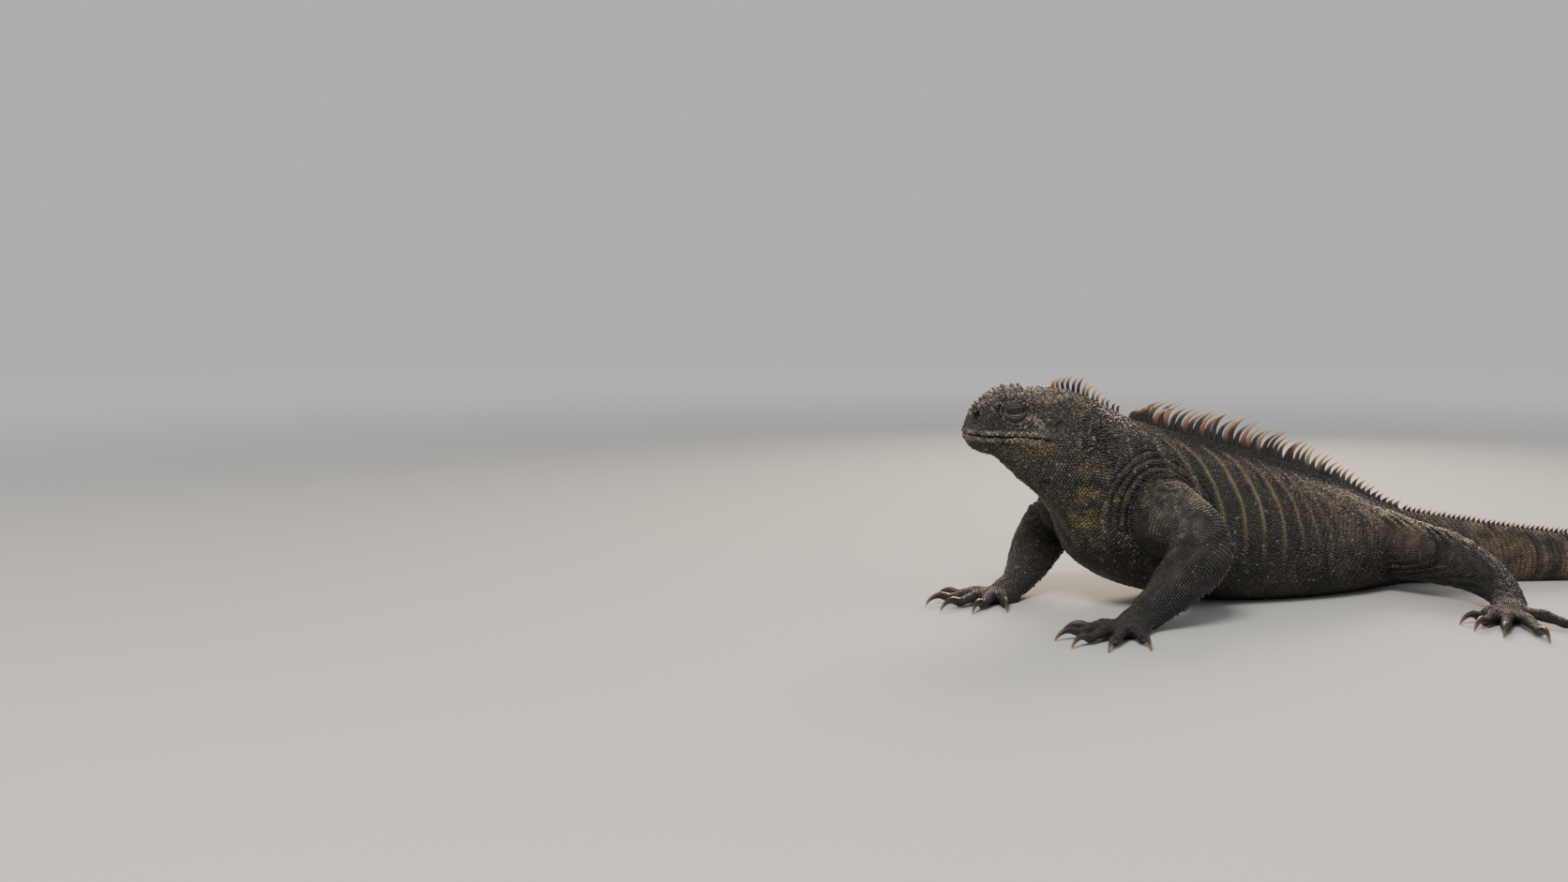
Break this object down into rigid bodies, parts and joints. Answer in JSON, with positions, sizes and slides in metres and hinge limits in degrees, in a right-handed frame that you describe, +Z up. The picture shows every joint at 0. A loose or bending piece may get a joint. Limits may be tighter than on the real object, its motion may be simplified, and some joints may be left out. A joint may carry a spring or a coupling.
{
  "type": "marine iguana",
  "caption": "Life-size still model of a marine iguana resting with its chest propped on its forelegs and its tail laid out behind.",
  "frame": {"origin": "on the ground under the middle of the belly, on the flat that the belly rests on", "axes": "+Z up; the head points to -X and the tail to +X; the animal's left side faces -Y"},
  "size_m": [1.0396, 0.5135, 0.1937],
  "materials": {
    "skin": "scaly, satin, charcoal to brown grey",
    "eye": "glossy dark brown"
  },
  "bodies": {
    "root": {"head": "skin", "neck": "skin", "torso": "skin", "tail_base": "skin", "tail_middle": "skin", "tail_rear": "skin", "tail_tip": "skin", "upper_arm_left": "skin", "forearm_left": "skin", "forefoot_left": "skin", "upper_arm_right": "skin", "forearm_right": "skin", "forefoot_right": "skin", "thigh_left": "skin", "shin_left": "skin", "hindfoot_left": "skin", "thigh_right": "skin", "shin_right": "skin", "hindfoot_right": "skin", "eye_left": "eye", "eye_right": "eye"}
  },
  "joints": []
}
